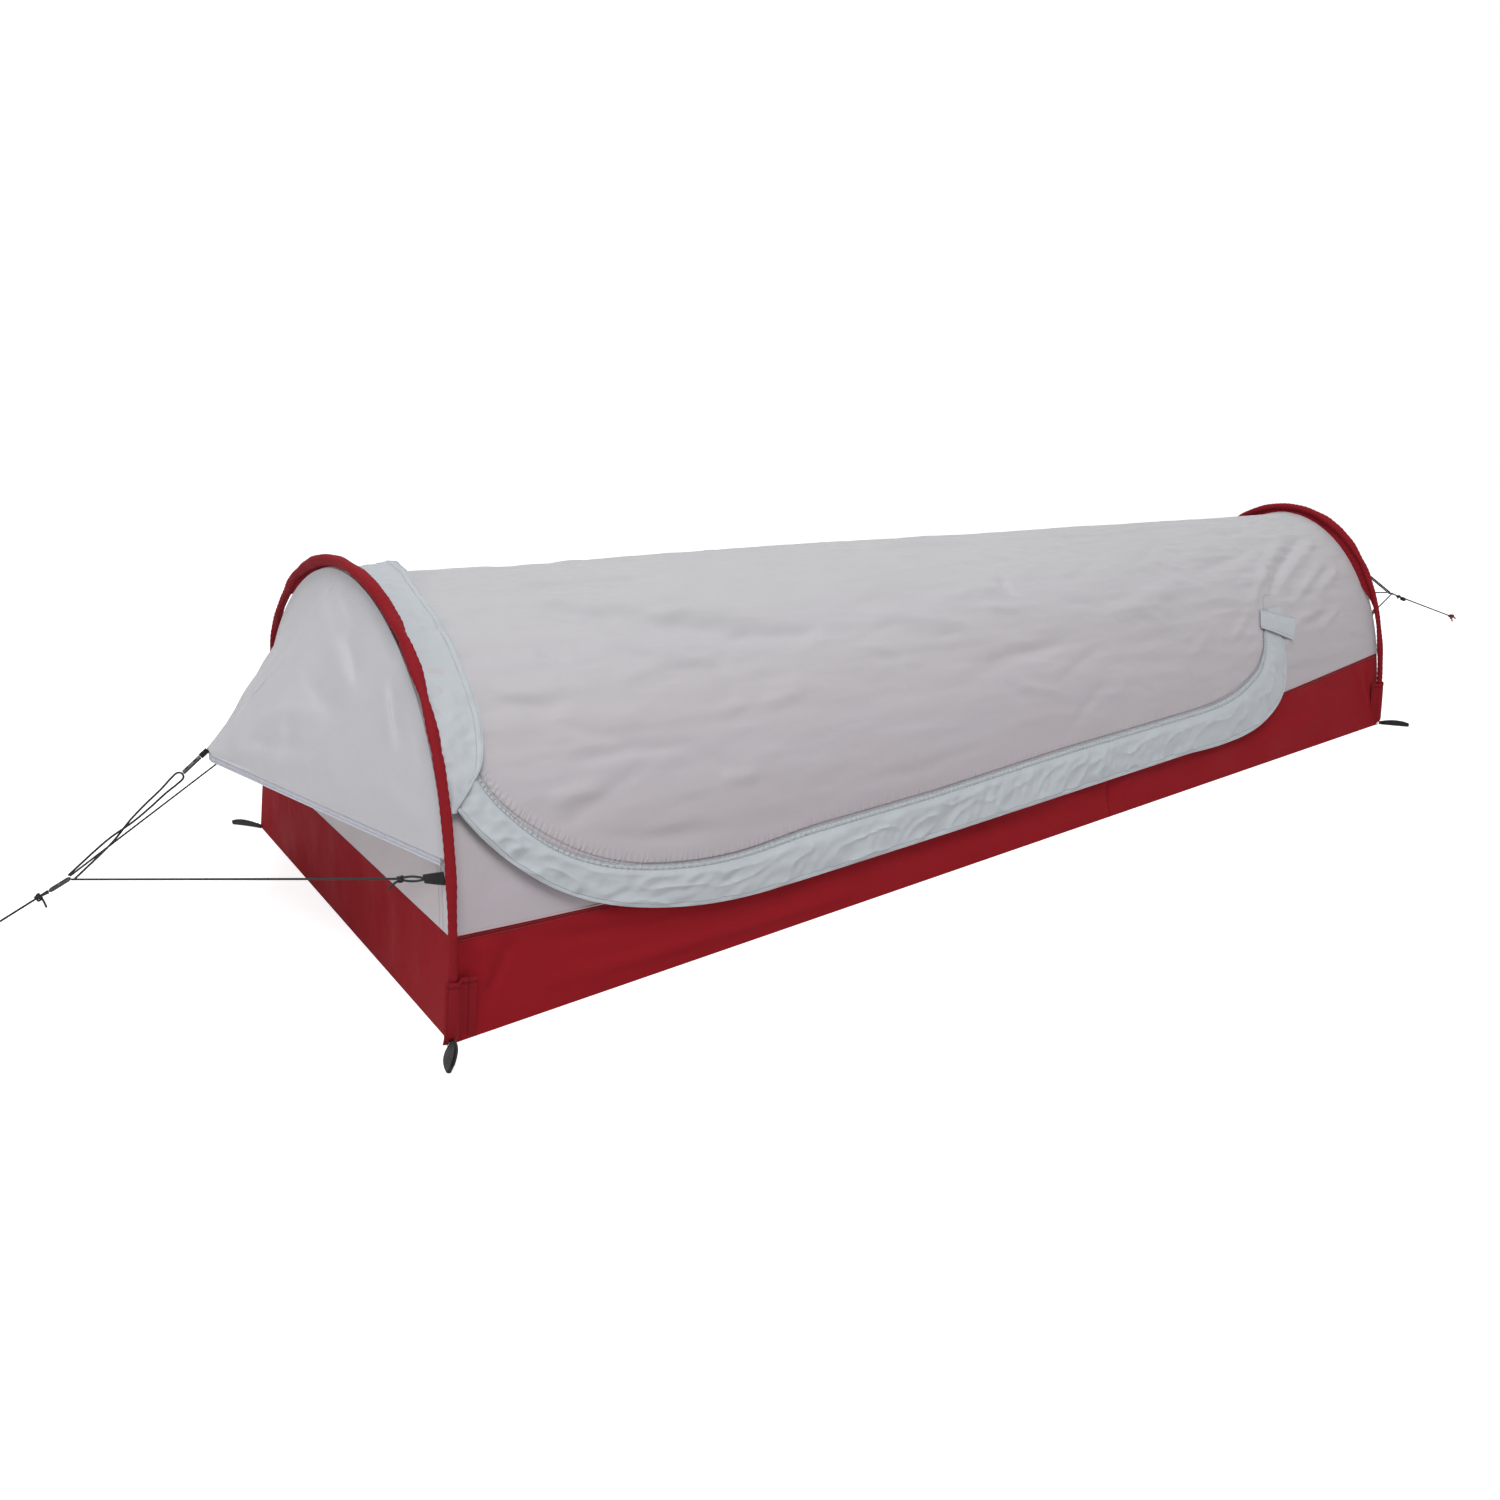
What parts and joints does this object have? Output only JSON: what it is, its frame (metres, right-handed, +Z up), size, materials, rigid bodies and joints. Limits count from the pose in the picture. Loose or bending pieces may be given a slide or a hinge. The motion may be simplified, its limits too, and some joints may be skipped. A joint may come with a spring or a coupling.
{
  "type": "bivvy shelter",
  "caption": "Low hooped bivvy shelter: red floor tray, pale canopy with a zipped side door under a storm flap, hooded head vent, sleeved poles, stake loops and guy lines.",
  "frame": {"origin": "middle of the groundsheet's underside, halfway between the head end and the foot end", "axes": "+X towards the foot end, -Y towards the door side, +Z up"},
  "size_m": [3.5666, 0.9742, 0.4896],
  "materials": {
    "canopy_grey": "light grey polyester taffeta, slightly see-through",
    "flap_pale": "pale blue-grey polyester taffeta",
    "floor_red": "dark red coated polyester",
    "webbing_black": "black woven webbing",
    "cord_grey": "dark grey braided cord",
    "end_knot_red": "red-brown cord",
    "vent_mesh": "dark insect mesh",
    "zip_grey": "woven zip tape with a nylon coil",
    "pole_alloy": "satin anodised tube",
    "plastic_black": "black moulded plastic"
  },
  "bodies": {
    "tent": {"groundsheet": "floor_red", "wall_near": "floor_red", "wall_far": "floor_red", "wall_head": "floor_red", "wall_foot": "floor_red", "canopy_far": "canopy_grey", "canopy_near": "canopy_grey", "head_panel": "canopy_grey", "foot_panel": "canopy_grey", "head_vent_mesh": "vent_mesh", "head_hood": "canopy_grey", "hood_hem": "canopy_grey", "collar_flap": "flap_pale", "zip_tape_body": "zip_grey", "head_sleeve": "floor_red", "foot_sleeve": "floor_red", "head_pole_1": "pole_alloy", "head_pole_2": "pole_alloy", "head_pole_3": "pole_alloy", "head_pole_4": "pole_alloy", "foot_pole_1": "pole_alloy", "foot_pole_2": "pole_alloy", "foot_pole_3": "pole_alloy", "head_shock_cord": "cord_grey", "foot_shock_cord": "cord_grey", "pole_pocket_head_near": "floor_red", "pole_pocket_head_far": "floor_red", "pole_pocket_foot_near": "floor_red", "pole_pocket_foot_far": "floor_red", "guy_tab_head_near": "webbing_black", "guy_tab_head_far": "webbing_black", "guy_tab_foot_near": "webbing_black", "guy_tab_foot_far": "webbing_black", "foot_peak_loop": "webbing_black", "hood_tip_loop": "webbing_black", "hood_tip_buckle": "plastic_black", "head_line_ring": "plastic_black", "foot_line_ring": "plastic_black", "head_guy_near": "cord_grey", "head_guy_far": "cord_grey", "head_guy_main": "cord_grey", "head_guy_tip": "cord_grey", "foot_guy_near": "cord_grey", "foot_guy_far": "cord_grey", "foot_guy_main": "cord_grey", "foot_guy_peak": "cord_grey", "foot_line_end_knot": "end_knot_red"},
    "door": {"door_leaf": "canopy_grey", "door_storm_flap": "flap_pale", "storm_flap_tab": "flap_pale", "zip_tape_door": "zip_grey"},
    "foot_slider": {"zip_slider_foot": "plastic_black", "zip_pull_foot": "plastic_black"},
    "head_slider": {"zip_slider_head": "plastic_black", "zip_pull_head": "plastic_black"},
    "loop_head_near": {"stake_loop_head_near": "webbing_black"},
    "loop_head_far": {"stake_loop_head_far": "webbing_black"},
    "loop_foot_near": {"stake_loop_foot_near": "webbing_black"},
    "loop_foot_far": {"stake_loop_foot_far": "webbing_black"}
  },
  "joints": [
    {"name": "door_lift", "type": "hinge", "parent": "tent", "child": "door", "pos_m": [0, 0, 0.466], "axis": [-1, 0, 0], "range_deg": [0, 110]},
    {"name": "foot_slider_run", "type": "slide", "parent": "tent", "child": "foot_slider", "axis": [0.9966, 0.0813, 0.0142], "range_m": [0, 0.48]},
    {"name": "head_slider_run", "type": "slide", "parent": "tent", "child": "head_slider", "axis": [-0.9966, -0.0813, -0.0142], "range_m": [0, 0.48]},
    {"name": "loop_head_near_lift", "type": "hinge", "parent": "tent", "child": "loop_head_near", "pos_m": [-1.14696, -0.43402, 0.0156], "axis": [-0.8387, 0.5446, 0], "range_deg": [0, 70]},
    {"name": "loop_head_far_lift", "type": "hinge", "parent": "tent", "child": "loop_head_far", "pos_m": [-1.14696, 0.43402, 0.0156], "axis": [0.8387, 0.5446, 0], "range_deg": [0, 70]},
    {"name": "loop_foot_near_lift", "type": "hinge", "parent": "tent", "child": "loop_foot_near", "pos_m": [1.14754, -0.24954, 0.0156], "axis": [-0.7071, -0.7071, 0], "range_deg": [0, 70]},
    {"name": "loop_foot_far_lift", "type": "hinge", "parent": "tent", "child": "loop_foot_far", "pos_m": [1.14754, 0.24954, 0.0156], "axis": [0.7071, -0.7071, 0], "range_deg": [0, 70]}
  ]
}
